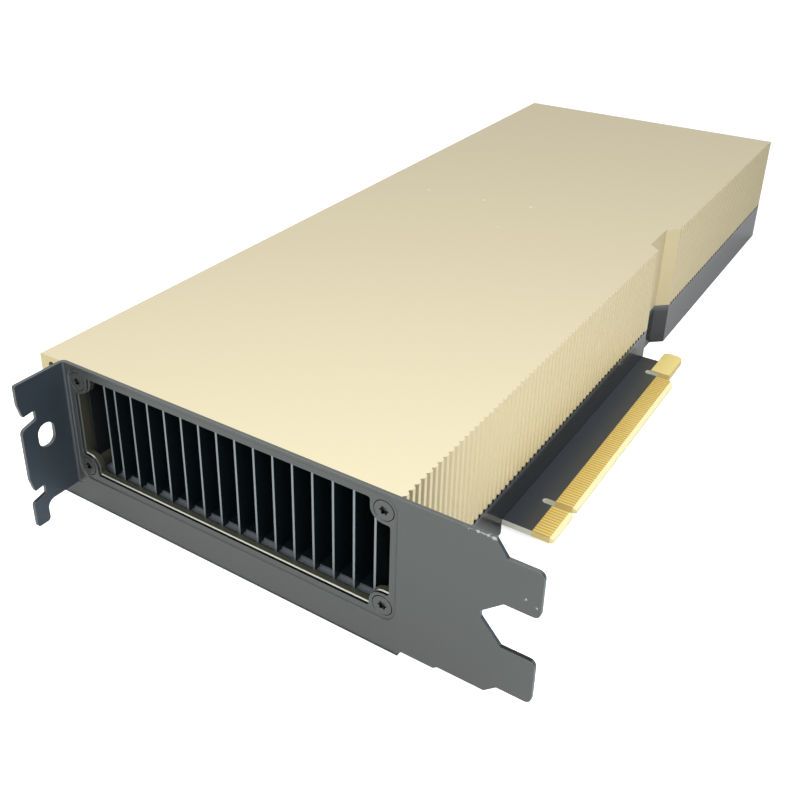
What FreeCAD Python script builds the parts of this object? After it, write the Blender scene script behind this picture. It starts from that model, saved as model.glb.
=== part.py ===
# Passive dual-slot accelerator card: finned heat sink under a fluted aluminium cover,
# full-height folded bracket, x16 edge connector. FreeCAD 1.1 macro, millimetres.
#
# Everything is drawn from one card datum: X runs from the outer face of the bracket to the
# far end, Y from the free edge of the contact fingers, Z from the component face of the board.
# One placement, bound to the sheet, then puts the middle of the card's base at the origin.
import FreeCAD, Part
import math
import os
import Sketcher

doc = FreeCAD.newDocument("accelerator_card")
vector = FreeCAD.Vector

# ---------------------------------------------------------------- driving dimensions
dimensions = {
    "card": [
        ("cardLength", 267.7, "bracket face to far end"),
        ("cardReach", 111.1, "finger edge to the long side away from it"),
        ("sideY", 12.9, "finger edge to the fluted side"),
        ("coverTop", 34.5, "top of the cover over the board"),
        ("coverLow", 9.1, "seam between cover and frame"),
        ("baseDrop", 3.9, "board face down to the base"),
        ("boardThick", 1.57, "circuit board"),
    ],
    "recess in plan": [
        ("recessNear", 140.7, "start of the near slope"),
        ("recessNearFoot", 143.9, "foot of the near slope"),
        ("recessFarFoot", 157.5, "foot of the far slope"),
        ("recessFar", 160.6, "end of the far slope"),
        ("recessY", 16.3, "floor of the recess"),
    ],
    "cover": [
        ("coverWall", 1.4, "side walls"),
        ("coverRoof", 1.5, "roof"),
        ("flangeThick", 1.6, "front flange"),
        ("rearThick", 4.0, "far-end flange"),
        ("coverRound", 0.45, "rounding of the roof edges"),
        ("flutePitch", 2.155, "spacing of the flutes"),
        ("fluteStart", 2.05, "first flute from the bracket face"),
        ("fluteWide", 1.25, "mouth of one flute"),
        ("fluteDeep", 0.62, "depth of one flute"),
        ("flutesNear", 64, "flutes before the recess"),
        ("flutesFar", 49, "flutes past the recess"),
        ("fluteFarStart", 162.6, "first flute past the recess"),
        ("flangeHoleY", 107.4, "hole in the front flange"),
        ("flangeHoleZ", 32.2, "hole in the front flange"),
        ("flangeHoleBore", 2.0, "hole in the front flange"),
        ("intakeLowY", 21.0, "far-end intake"),
        ("intakeHighY", 104.0, "far-end intake"),
        ("intakeTop", 31.0, "far-end intake"),
        ("extenderLowY", 16.9, "threaded holes for an extender"),
        ("extenderHighY", 107.3, "threaded holes for an extender"),
        ("extenderLowZ", 14.0, "threaded holes for an extender"),
        ("extenderHighZ", 29.0, "threaded holes for an extender"),
        ("extenderBore", 2.5, "tapping size of M3"),
    ],
    "bracket": [
        ("sheet", 0.86, "steel sheet"),
        ("bracketTop", 35.4, "top edge"),
        ("edgeOne", 0.7, "lowest edge beside the tangs, below the board"),
        ("edgeTwo", 1.42, "next step"),
        ("edgeThree", 2.2, "main lower edge"),
        ("stepOneY", 3.4, "first step"),
        ("stepTwoY", 11.5, "second step"),
        ("stepRun", 0.95, "length of a step's slope"),
        ("tangLowZ", 1.54, "lower edge of the lower tang"),
        ("tangWide", 10.19, "width of a tang"),
        ("slotPitch", 20.32, "spacing of expansion slots"),
        ("tangTip", 16.1, "tang tips, past the finger edge"),
        ("tangRoot", 9.1, "roots of the tangs"),
        ("tangRound", 1.4, "corners of the tangs"),
        ("shoulderY", 6.6, "end of the slopes beside the tangs"),
        ("notchDeepY", 4.75, "bottom of the notch between tangs"),
        ("notchLowZ", 16.6, "bottom of the notch"),
        ("notchHighZ", 18.1, "bottom of the notch"),
        ("notchRound", 0.7, "corners of the notch"),
        ("tabY", 102.3, "inner face of the fold"),
        ("bendInner", 0.6, "inner radius of the fold"),
        ("bendLeg", 0.5, "straight run at both ends of the fold"),
        ("earY", 108.4, "lower strip past the fold"),
        ("earTop", 2.25, "upper edge of the strip past the fold"),
        ("tabLowZ", 2.45, "lower edge of the folded tab"),
        ("tabOut", 13.5, "outer edge of the tab, from the bracket face"),
        ("footInner", 9.75, "inner side of the foot"),
        ("footDrop", 2.8, "end of the foot, below the board"),
        ("footRound", 0.9, "corners of the foot"),
        ("footFillet", 2.0, "root of the foot"),
        ("slotOneLow", 4.95, "lower screw slot"),
        ("slotOneHigh", 7.35, "lower screw slot"),
        ("slotTwoLow", 24.75, "upper screw slot"),
        ("slotTwoHigh", 27.25, "upper screw slot"),
        ("slotInner", 9.3, "blind end of the screw slots"),
        ("lipRun", 3.2, "slope of the tab's edge above a slot"),
        ("tabHoleX", 7.15, "hole in the tab"),
        ("tabHoleZ", 19.6, "hole in the tab"),
        ("tabHoleWide", 4.6, "hole in the tab"),
        ("tabHoleTall", 6.1, "hole in the tab"),
    ],
    "vent window": [
        ("windowLowY", 14.8, "window edge near the fingers"),
        ("windowHighY", 99.85, "window edge near the fold"),
        ("windowLowZ", 6.5, "lower edge"),
        ("windowTopZ", 33.0, "upper edge"),
        ("windowRound", 0.6, "corners"),
        ("screwLowY", 16.35, "bracket screws"),
        ("screwHighY", 98.65, "bracket screws"),
        ("screwLowZ", 8.0, "bracket screws"),
        ("screwHighZ", 31.1, "bracket screws"),
        ("lobeRadius", 3.05, "lobe around each screw"),
        ("pressLowY", 13.3, "pressed field around the window"),
        ("pressHighY", 101.1, "pressed field around the window"),
        ("pressLowZ", 4.85, "pressed field around the window"),
        ("pressHighZ", 34.7, "pressed field around the window"),
        ("pressRound", 3.2, "corners of the pressed field"),
        ("pressDeep", 0.25, "depth of the pressed field"),
        ("pressSlope", 0.22, "sloped edge of the pressed field"),
        ("sinkRadius", 2.4, "countersinks in the bracket"),
    ],
    "vent frame": [
        ("frameStep", 0.14, "vent frame seen inside the window"),
        ("ventLowY", 14.3, "outer edge"),
        ("ventHighY", 102.6, "outer edge"),
        ("ventLowZ", 4.85, "outer edge"),
        ("ventRibDeep", 3.64, "depth of the rib beside the fold"),
        ("ventChamfer", 0.3, "front edge of the frame's opening"),
        ("bossRadius", 1.85, "screw bosses"),
        ("bossEnd", 6.5, "screw bosses"),
        ("threadRadius", 1.25, "M2.5 thread"),
    ],
    "bracket screw": [
        ("headRadius", 2.15, "countersunk head"),
        ("headFace", 0.28, "face of the head behind the bracket face"),
        ("screwEnd", 7.6, "tip"),
        ("socketOuter", 1.15, "six-lobe socket"),
        ("socketInner", 0.78, "six-lobe socket"),
        ("socketDeep", 0.7, "six-lobe socket"),
    ],
    "frame": [
        ("frameWall", 1.6, "walls"),
        ("ledgeWide", 2.0, "ledge over the board's rim"),
        ("ledgeThick", 1.5, "ledge"),
        ("gapNear", 46.6, "opening for the edge connector"),
        ("gapFar", 140.5, "opening for the edge connector"),
        ("gapTop", 0.06, "opening over the board"),
        ("postInset", 5.3, "case screws from the long sides"),
        ("postRadius", 2.6, "posts for the case screws"),
        ("postTop", 4.1, "posts for the case screws"),
        ("caseThread", 1.0, "case screw threads"),
        ("postFirst", 12.0, "first case screw"),
        ("postStep", 61.0, "spacing of the case screws"),
        ("postCount", 5, "case screws along each side"),
    ],
    "board": [
        ("boardNear", 2.8, "board edge behind the bracket"),
        ("boardFar", 263.4, "board edge at the far end"),
        ("boardLowY", 14.65, "main outline"),
        ("boardHighY", 109.3, "main outline"),
        ("tongueNear", 46.9, "near end of the edge connector"),
        ("keyX", 59.05, "key notch"),
        ("keyWide", 1.9, "key notch"),
        ("keyDeep", 8.3, "key notch"),
        ("fingersFar", 131.2, "far end of the contacts"),
        ("hookNear", 133.4, "retention hook"),
        ("hookGapDeep", 9.1, "notch before the hook"),
        ("hookLow", 2.3, "free edge of the hook"),
        ("hookHigh", 8.05, "inner edge of the hook"),
        ("hookFar", 146.6, "tip of the hook"),
        ("hookRound", 1.5, "tip of the hook"),
        ("tongueFar", 140.3, "far edge of the tongue"),
        ("bevelRun", 1.1, "bevel of the finger edge"),
        ("bevelDeep", 0.4, "bevel of the finger edge"),
        ("padPitch", 1.0, "contact spacing"),
        ("padWide", 0.7, "contact width"),
        ("padOffset", 1.5, "key centre to the first contact"),
        ("padEnd", 5.4, "inner end of the contacts"),
        ("padThick", 0.04, "gold plating"),
        ("padsNear", 11, "contacts before the key"),
        ("padsFar", 71, "contacts past the key"),
    ],
    "back plate": [
        ("plateThick", 1.4, "back plate"),
        ("plateGap", 0.2, "gap to the frame"),
        ("windowBack", 70.0, "opening for the spring brace"),
        ("filmThick", 0.2, "insulating film"),
        ("filmInset", 8.6, "film clear of the case screws"),
    ],
    "spring brace": [
        ("braceThick", 1.2, "spring frame"),
        ("braceBand", 7.0, "spring frame"),
        ("washerThick", 0.2, "washers under the screw heads"),
        ("panRadius", 2.5, "pan heads"),
        ("panTall", 0.75, "pan heads"),
        ("crossArm", 0.95, "cross recess of a head"),
        ("crossThin", 0.24, "cross recess of a head"),
    ],
    "processor": [
        ("chipX", 122.0, "centre"),
        ("chipY", 60.0, "centre"),
        ("substrateSide", 55.0, "package substrate"),
        ("substrateThick", 1.7, "package substrate"),
        ("stiffenerBand", 4.0, "stiffener ring"),
        ("stiffenerThick", 0.6, "stiffener ring"),
        ("dieX", 26.0, "die"),
        ("dieY", 31.0, "die"),
        ("dieThick", 0.8, "die"),
        ("stackX", 8.0, "memory stack"),
        ("stackY", 9.8, "memory stack"),
        ("stackGap", 0.5, "gap between the dies"),
        ("compoundThick", 0.3, "thermal compound"),
    ],
    "heat sink": [
        ("sinkFront", 4.7, "front of the heat-sink base"),
        ("sinkRear", 262.0, "rear of the heat-sink base"),
        ("sinkLowY", 15.2, "edge near the fingers"),
        ("sinkHighY", 99.6, "edge near the fold"),
        ("sinkLowZ", 4.4, "underside"),
        ("sinkTopZ", 6.0, "upper face"),
        ("sinkGap", 0.6, "gap around the base where it meets the frame or the socket"),
        ("pedestalSide", 57.0, "pedestal over the processor"),
        ("columnSpan", 62.0, "screw columns around the processor"),
        ("columnRadius", 3.1, "screw columns"),
        ("finFront", 2.8, "front edges of the fins"),
        ("finFirstY", 19.72, "first fin"),
        ("finPitch", 4.984, "fin spacing"),
        ("finThick", 0.5, "fin"),
        ("finTopZ", 32.9, "top of the fins"),
        ("finLastY", 92.76, "last fin"),
        ("finsLong", 13, "full-length fins"),
        ("finsShort", 2, "fins that end at the power socket"),
        ("finShortRear", 248.0, "rear of the short fins"),
        ("finJoint", 0.04, "gap between folded fin feet"),
        ("finEdgeFoot", 1.2, "foot of the first fin"),
        ("baffleY", 98.0, "air baffle beside the fins"),
        ("baffleThick", 0.4, "air baffle beside the fins"),
    ],
    "power stage": [
        ("chokeSide", 6.4, "choke"),
        ("chokeTall", 3.8, "choke"),
        ("stageX", 5.0, "power stage"),
        ("stageY", 6.0, "power stage"),
        ("stageTall", 0.9, "power stage"),
        ("phasePitch", 9.4, "spacing of the phases"),
        ("phaseFirst", 25.0, "first phase"),
        ("phaseCount", 8, "phases on each side"),
        ("phaseNearX", 76.0, "chokes towards the bracket"),
        ("phaseFarX", 168.0, "chokes towards the far end"),
        ("stageShift", 8.5, "power stage beside its choke"),
        ("canRadius", 3.15, "polymer capacitor"),
        ("canTall", 8.0, "polymer capacitor"),
        ("canFirst", 84.0, "first capacitor"),
        ("canStep", 8.2, "capacitor spacing"),
        ("canCount", 5, "capacitors"),
        ("canY", 104.1, "row of capacitors"),
    ],
    "small allowances": [
        ("slip", 0.05, "air between two pieces that would touch"),
        ("slipHole", 0.2, "clearance around a screw thread"),
        ("slotLip", 0.9, "lead-in beside a tab slot"),
        ("slotCorner", 0.5, "corner inside a tab slot"),
        ("slotRound", 0.3, "rounding of a tab slot"),
        ("slotLipLow", 1.1, "lead-in below the upper slot"),
        ("slotBend", 1.5, "rounding of that lead-in"),
        ("lipRound", 2.0, "rounding above a slot"),
        ("tabCorner", 0.6, "outer corner of the tab"),
        ("screwPoint", 0.3, "chamfer at the end of a screw"),
        ("intakeRound", 2.5, "corners of the rear intake"),
        ("boardSlip", 0.15, "air between the board and the frame"),
        ("wallSlip", 0.2, "air between the frame wall and the board edge"),
        ("padInset", 0.1, "hook plating inside the board outline"),
        ("crossDeep", 0.6, "drive recess of a case screw"),
        ("braceCrossDeep", 0.4, "drive recess of a brace screw"),
    ],
    "power socket": [
        ("socketLength", 15.0, "housing"),
        ("socketWide", 19.4, "housing"),
        ("socketTall", 10.4, "housing"),
        ("socketLowY", 83.4, "housing"),
        ("socketLowZ", 0.3, "housing above the board"),
        ("socketFace", 267.2, "mating face"),
        ("cavity", 3.7, "one cavity"),
        ("cavityPitch", 4.2, "cavity spacing"),
        ("cavityDeep", 11.0, "cavity"),
        ("pinSide", 1.1, "pin"),
        ("pinReach", 8.0, "pin inside its cavity"),
        ("catchWide", 4.6, "catch for the plug's latch"),
        ("catchTall", 1.6, "catch for the plug's latch"),
        ("catchLong", 4.2, "catch for the plug's latch"),
        ("socketGap", 0.5, "gap around the housing"),
    ],
}

sheet = doc.addObject("Spreadsheet::Sheet", "dims")
known = {}


def fill_sheet():
    row = 1
    for section, cells in dimensions.items():
        sheet.set(f"A{row}", section)
        row += 1
        for alias, value, note in cells:
            sheet.set(f"A{row}", alias)
            sheet.set(f"B{row}", str(value))
            sheet.set(f"C{row}", note)
            sheet.setAlias(f"B{row}", alias)
            known[alias] = value
            row += 1
    doc.recompute()


class Size:
    """A number together with the sheet expression that gives it."""

    def __init__(self, value, text):
        self.value = value
        self.text = text

    def __add__(self, other):
        other = size(other)
        return Size(self.value + other.value, f"({self.text} + {other.text})")

    def __sub__(self, other):
        other = size(other)
        return Size(self.value - other.value, f"({self.text} - {other.text})")

    def __mul__(self, other):
        other = size(other)
        return Size(self.value * other.value, f"({self.text} * {other.text})")

    def __truediv__(self, other):
        other = size(other)
        return Size(self.value / other.value, f"({self.text} / {other.text})")

    def __neg__(self):
        return Size(-self.value, f"(0 - {self.text})")

    def __radd__(self, other):
        return size(other) + self

    def __rsub__(self, other):
        return size(other) - self

    def __rmul__(self, other):
        return size(other) * self


def size(item):
    return item if isinstance(item, Size) else Size(float(item), f"{item:g}")


class Sheet:
    """d.name is the named cell as a Size."""

    def __getattr__(self, name):
        return Size(known[name], f"dims.{name}")


fill_sheet()
d = Sheet()


# ---------------------------------------------------------------- drawing helpers
def bind(item, path, expression):
    item.setExpression(path, expression.text)


def new_body(label):
    """A body placed so that the middle of the card's base is the origin."""
    body = doc.addObject("PartDesign::Body", label)
    body.Label = label
    bind(body, "Placement.Base.x", (d.tabOut - d.cardLength) / 2)
    bind(body, "Placement.Base.y", (d.tangTip - d.cardReach) / 2)
    bind(body, "Placement.Base.z", d.baseDrop)
    return body


def origin_feature(body, role):
    return next(f for f in body.Origin.OriginFeatures if f.Role == role)


def new_sketch(body, name, plane, height=0, shift=0):
    """Sketch on an origin plane of its body, at a height along the plane's own normal and
    shifted along its v axis. XY looks along +Z, YZ along +X (u = Y, v = Z), XZ along -Y."""
    sketch = body.newObject("Sketcher::SketchObject", name)
    sketch.AttachmentSupport = [(origin_feature(body, plane + "_Plane"), "")]
    sketch.MapMode = "FlatFace"
    bind(sketch, "AttachmentOffset.Base.y", size(shift))
    bind(sketch, "AttachmentOffset.Base.z", size(height))
    return sketch


def fix(sketch, kind, ids, expression):
    index = sketch.addConstraint(Sketcher.Constraint(kind, *ids, expression.value))
    bind(sketch, f"Constraints[{index}]", expression)


def pin_point(sketch, geometry, end, u, v):
    fix(sketch, "DistanceX", (-1, 1, geometry, end), size(u))
    fix(sketch, "DistanceY", (-1, 1, geometry, end), size(v))


def draw_loop(sketch, corners):
    """Closed outline. A corner is (u, v) or (u, v, radius); a rounded corner keeps its
    sharp point as construction, so the outline follows the sheet."""
    corners = [(size(c[0]), size(c[1]), size(c[2]) if len(c) > 2 else None) for c in corners]
    count = len(corners)
    sharp = [vector(u.value, v.value, 0) for u, v, r in corners]
    enter, leave, centre = [], [], []
    for i, (u, v, radius) in enumerate(corners):
        if radius is None:
            enter.append(sharp[i])
            leave.append(sharp[i])
            centre.append(None)
            continue
        back = (sharp[i - 1] - sharp[i]).normalize()
        ahead = (sharp[(i + 1) % count] - sharp[i]).normalize()
        half = back.getAngle(ahead) / 2
        setback = radius.value / math.tan(half)
        enter.append(sharp[i] + back * setback)
        leave.append(sharp[i] + ahead * setback)
        middle = (back + ahead).normalize()
        centre.append(sharp[i] + middle * (radius.value / math.sin(half)))
    lines = []
    for i in range(count):
        line = Part.LineSegment(leave[i], enter[(i + 1) % count])
        lines.append(sketch.addGeometry(line, False))
    for i, (u, v, radius) in enumerate(corners):
        before, after = lines[i - 1], lines[i]
        if radius is None:
            sketch.addConstraint(Sketcher.Constraint("Coincident", before, 2, after, 1))
            pin_point(sketch, after, 1, u, v)
            continue
        towards = (sharp[i] - centre[i]).normalize() * radius.value
        arc = Part.Arc(enter[i], centre[i] + towards, leave[i])
        number = sketch.addGeometry(arc, False)
        start = sketch.getPoint(number, 1)
        ends = (1, 2) if start.distanceToPoint(enter[i]) < 1e-6 else (2, 1)
        sketch.addConstraint(Sketcher.Constraint("Tangent", before, 2, number, ends[0]))
        sketch.addConstraint(Sketcher.Constraint("Tangent", number, ends[1], after, 1))
        fix(sketch, "Radius", (number,), radius)
        point = sketch.addGeometry(Part.Point(sharp[i]), True)
        pin_point(sketch, point, 1, u, v)
        sketch.addConstraint(Sketcher.Constraint("PointOnObject", point, 1, before))
        sketch.addConstraint(Sketcher.Constraint("PointOnObject", point, 1, after))


def draw_box(sketch, u0, v0, u1, v1, radius=None):
    tail = () if radius is None else (radius,)
    draw_loop(sketch, [(u0, v0) + tail, (u1, v0) + tail, (u1, v1) + tail, (u0, v1) + tail])


def draw_circle(sketch, u, v, radius):
    u, v, radius = size(u), size(v), size(radius)
    centre = vector(u.value, v.value, 0)
    number = sketch.addGeometry(Part.Circle(centre, vector(0, 0, 1), radius.value), False)
    pin_point(sketch, number, 3, u, v)
    fix(sketch, "Radius", (number,), radius)


def draw_cross(sketch, x, y):
    """Cross recess of a screw head."""
    arm, thin = d.crossArm, d.crossThin
    draw_loop(sketch, [
        (x - arm, y - thin),
        (x - thin, y - thin),
        (x - thin, y - arm),
        (x + thin, y - arm),
        (x + thin, y - thin),
        (x + arm, y - thin),
        (x + arm, y + thin),
        (x + thin, y + thin),
        (x + thin, y + arm),
        (x - thin, y + arm),
        (x - thin, y + thin),
        (x - arm, y + thin),
    ])


def pad(body, sketch, length, backwards=False):
    feature = body.newObject("PartDesign::Pad", sketch.Name + "_pad")
    feature.Profile = sketch
    bind(feature, "Length", size(length))
    feature.Reversed = backwards
    body.Tip = feature
    return feature


def pocket(body, sketch, length, forwards=True):
    """Cuts along the sketch plane's normal when forwards, else against it."""
    doc.recompute()
    before = body.Shape.Volume
    feature = body.newObject("PartDesign::Pocket", sketch.Name + "_cut")
    feature.Profile = sketch
    bind(feature, "Length", size(length))
    feature.Reversed = forwards
    body.Tip = feature
    doc.recompute()
    if body.Shape.Volume > before - 1e-6:
        raise RuntimeError(f"{feature.Name} cuts nothing")
    return feature


def turn(body, sketch, axis):
    """Full revolution about the sketch's own H_Axis or V_Axis."""
    feature = body.newObject("PartDesign::Revolution", sketch.Name + "_turned")
    feature.Profile = sketch
    feature.ReferenceAxis = (sketch, [axis])
    feature.Angle = 360
    body.Tip = feature
    return feature


def row_of(body, features, axis, count, pitch, rows=None):
    """Linear pattern of features; rows = (axis, count, pitch) adds a second direction."""
    pattern = body.newObject("PartDesign::LinearPattern", features[-1].Name + "_row")
    pattern.Originals = features
    pattern.Direction = (origin_feature(body, axis + "_Axis"), [""])
    bind(pattern, "Length", pitch * (count - 1))
    bind(pattern, "Occurrences", count)
    if rows:
        axis_two, count_two, pitch_two = rows
        pattern.Direction2 = (origin_feature(body, axis_two + "_Axis"), [""])
        bind(pattern, "Length2", pitch_two * (count_two - 1))
        bind(pattern, "Occurrences2", size(count_two))
    body.Tip = pattern
    return pattern


def block(body, name, low, high):
    """Pad of a rectangle: low and high are opposite corners in the card datum."""
    sketch = new_sketch(body, name, "XY", low[2])
    draw_box(sketch, low[0], low[1], high[0], high[1])
    return pad(body, sketch, size(high[2]) - low[2])


def edges_at(body, test):
    """Names of the tip's edges whose middle passes the test."""
    doc.recompute()
    names = []
    for number, edge in enumerate(body.Tip.Shape.Edges, 1):
        middle = edge.valueAt((edge.FirstParameter + edge.LastParameter) / 2)
        if test(edge, middle):
            names.append(f"Edge{number}")
    return names


def soften(body, kind, amount, test):
    names = edges_at(body, test)
    if not names:
        raise RuntimeError(f"no edge to soften on {body.Name}")
    base = body.Tip
    feature = body.newObject("PartDesign::" + kind, f"{body.Name}_{kind.lower()}")
    feature.Base = (base, names)
    bind(feature, "Radius" if kind == "Fillet" else "Size", size(amount))
    body.Tip = feature
    return feature


def plan_outline():
    """Outline shared by the cover and the frame, with the recess in the fluted side."""
    return [
        (d.sheet, d.sideY),
        (d.recessNear, d.sideY),
        (d.recessNearFoot, d.recessY),
        (d.recessFarFoot, d.recessY),
        (d.recessFar, d.sideY),
        (d.cardLength, d.sideY),
        (d.cardLength, d.cardReach),
        (d.sheet, d.cardReach),
    ]


def plan_inside(wall, front, rear):
    """The same outline moved in by a wall, with its own front and rear faces."""
    return [
        (d.sheet + front, d.sideY + wall),
        (d.recessNear - wall, d.sideY + wall),
        (d.recessNearFoot - wall, d.recessY + wall),
        (d.recessFarFoot + wall, d.recessY + wall),
        (d.recessFar + wall, d.sideY + wall),
        (d.cardLength - rear, d.sideY + wall),
        (d.cardLength - rear, d.cardReach - wall),
        (d.sheet + front, d.cardReach - wall),
    ]


def vent_opening(step):
    """Window between the four screw lobes, drawn (Y, Z) and smaller by a step."""
    low_y = d.windowLowY + step
    high_y = d.windowHighY - step
    low_z = d.windowLowZ + step
    lobe = d.lobeRadius + step
    lobe_low_y = d.screwLowY + lobe
    lobe_high_y = d.screwHighY - lobe
    lobe_low_z = d.screwLowZ + lobe
    lobe_high_z = d.screwHighZ - lobe
    turn = d.windowRound
    return {
        "top": [(lobe_high_y, d.windowTopZ, turn), (lobe_low_y, d.windowTopZ, turn)],
        "rest": [
            (lobe_low_y, lobe_high_z, lobe),
            (low_y, lobe_high_z, turn),
            (low_y, lobe_low_z, turn),
            (lobe_low_y, lobe_low_z, lobe),
            (lobe_low_y, low_z, turn),
            (lobe_high_y, low_z, turn),
            (lobe_high_y, lobe_low_z, lobe),
            (high_y, lobe_low_z, turn),
            (high_y, lobe_high_z, turn),
            (lobe_high_y, lobe_high_z, lobe),
        ],
    }


def vent_screw_places():
    """Names and centres of the four bracket screws, drawn (Y, Z)."""
    return (
        ("sink_a", d.screwLowY, d.screwLowZ),
        ("sink_b", d.screwLowY, d.screwHighZ),
        ("sink_c", d.screwHighY, d.screwLowZ),
        ("sink_d", d.screwHighY, d.screwHighZ),
    )


def sink_hole(body, name, y, z, face, radius, depth):
    """Countersink of 90 degrees entering along +X from a face."""
    cone = body.newObject("PartDesign::SubtractiveCone", name)
    bind(cone, "Radius1", radius)
    bind(cone, "Radius2", radius - depth)
    bind(cone, "Height", depth)
    cone.AttachmentSupport = [(origin_feature(body, "YZ_Plane"), "")]
    cone.MapMode = "FlatFace"
    bind(cone, "AttachmentOffset.Base.x", y)
    bind(cone, "AttachmentOffset.Base.y", z)
    bind(cone, "AttachmentOffset.Base.z", face)
    body.Tip = cone


# ---------------------------------------------------------------- bracket
def make_bracket():
    """One folded steel sheet: plate with vent window and two tangs, tab with screw slots."""
    body = new_body("bracket")
    plate = new_sketch(body, "plate", "YZ")
    tang_low_top = d.tangLowZ + d.tangWide
    tang_high = d.tangLowZ + d.slotPitch
    tang_high_top = tang_high + d.tangWide
    tip, root = -d.tangTip, -d.tangRoot
    fold = d.tabY - d.bendInner - d.bendLeg
    draw_loop(plate, [
        (-d.shoulderY, -d.edgeOne),
        (d.stepOneY, -d.edgeOne),
        (d.stepOneY + d.stepRun, -d.edgeTwo),
        (d.stepTwoY, -d.edgeTwo),
        (d.stepTwoY + d.stepRun, -d.edgeThree),
        (d.earY, -d.edgeThree, d.footRound),
        (d.earY, d.earTop, d.footRound),
        (fold, d.earTop),
        (fold, d.bracketTop),
        (-d.shoulderY, d.bracketTop),
        (root, tang_high_top),
        (tip, tang_high_top, d.tangRound),
        (tip, tang_high, d.tangRound),
        (root, tang_high),
        (-d.notchDeepY, d.notchHighZ, d.notchRound),
        (-d.notchDeepY, d.notchLowZ, d.notchRound),
        (root, tang_low_top),
        (tip, tang_low_top, d.tangRound),
        (tip, d.tangLowZ, d.tangRound),
        (root, d.tangLowZ),
    ])
    opening = vent_opening(0)
    draw_loop(plate, opening["top"] + opening["rest"])
    for name, y, z in vent_screw_places():
        draw_circle(plate, y, z, d.threadRadius + d.slipHole)
    pad(body, plate, d.sheet)

    fold_plan = new_sketch(body, "fold", "XY", d.tabLowZ)
    outer = d.bendInner + d.sheet
    leg = -d.bendInner - d.bendLeg
    draw_loop(fold_plan, [
        (0, fold),
        (d.sheet, fold),
        (d.sheet, d.tabY + d.sheet, outer),
        (leg, d.tabY + d.sheet),
        (leg, d.tabY),
        (0, d.tabY, d.bendInner),
    ])
    pad(body, fold_plan, d.bracketTop - d.tabLowZ)

    tab = new_sketch(body, "tab", "XZ", -d.tabY)
    edge = -d.tabOut
    draw_loop(tab, [
        (leg, d.tabLowZ),
        (-d.footInner, d.tabLowZ, d.footFillet),
        (-d.footInner, -d.footDrop, d.footRound),
        (edge, -d.footDrop, d.footRound),
        (edge, d.slotOneLow - d.slotLip, d.slotLip),
        (-d.slotInner - d.slotCorner, d.slotOneLow, d.slotRound),
        (-d.slotInner - d.slotCorner, d.slotOneHigh, d.slotRound),
        (edge + d.slotLip, d.slotOneHigh - d.slotRound, d.slotRound),
        (edge, d.slotOneHigh + d.lipRun, d.lipRound),
        (edge, d.slotTwoLow - d.slotLipLow, d.slotBend),
        (-d.slotInner, d.slotTwoLow, d.slotRound),
        (-d.slotInner, d.slotTwoHigh, d.slotRound),
        (edge + d.slotLip, d.slotTwoHigh - d.slotRound, d.slotRound),
        (edge, d.slotTwoHigh + d.lipRun, d.lipRound),
        (edge, d.bracketTop, d.tabCorner),
        (leg, d.bracketTop),
    ])
    half_wide, half_tall = d.tabHoleWide / 2, d.tabHoleTall / 2
    draw_box(tab, -d.tabHoleX - half_wide, d.tabHoleZ - half_tall,
             -d.tabHoleX + half_wide, d.tabHoleZ + half_tall, half_wide * 0.96)
    pad(body, tab, d.sheet, backwards=True)

    field = new_sketch(body, "pressed_field", "YZ")
    draw_box(field, d.pressLowY, d.pressLowZ, d.pressHighY, d.pressHighZ, d.pressRound)
    pocket(body, field, d.pressDeep)

    def on_field_rim(edge, middle):
        inside = (d.pressLowY.value - 0.01 < middle.y < d.pressHighY.value + 0.01
                  and d.pressLowZ.value - 0.01 < middle.z < d.pressHighZ.value + 0.01)
        window = (d.windowLowY.value - 0.4 < middle.y < d.windowHighY.value + 0.4
                  and d.windowLowZ.value - 0.4 < middle.z < d.windowTopZ.value + 0.4)
        return abs(middle.x) < 1e-6 and inside and not window
    soften(body, "Chamfer", d.pressSlope, on_field_rim)

    for name, y, z in vent_screw_places():
        sink_hole(body, name, y, z, d.pressDeep, d.sinkRadius, d.sheet - d.pressDeep)
    return body


def make_bracket_screws():
    """Four countersunk screws with six-lobe sockets."""
    body = new_body("bracket_screws")
    section = new_sketch(body, "screw_section", "XY", d.screwLowZ, d.screwLowY)
    head_end = d.headFace + d.headRadius - d.threadRadius
    draw_loop(section, [
        (d.headFace, 0),
        (d.screwEnd, 0),
        (d.screwEnd, d.threadRadius - d.screwPoint),
        (d.screwEnd - d.screwPoint, d.threadRadius),
        (head_end, d.threadRadius),
        (d.headFace, d.headRadius),
    ])
    turned = turn(body, section, "H_Axis")
    star = []
    for number in range(12):
        angle = math.radians(30 * number)
        reach = d.socketInner if number % 2 else d.socketOuter
        star.append((d.screwLowY + reach * math.cos(angle), d.screwLowZ + reach * math.sin(angle)))
    socket = new_sketch(body, "socket", "YZ", d.headFace)
    draw_loop(socket, star)
    socket_cut = pocket(body, socket, d.socketDeep)
    row_of(body, [turned, socket_cut], "Y", size(2), d.screwHighY - d.screwLowY,
           ("Z", 2, d.screwHighZ - d.screwLowZ))
    return body


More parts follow.
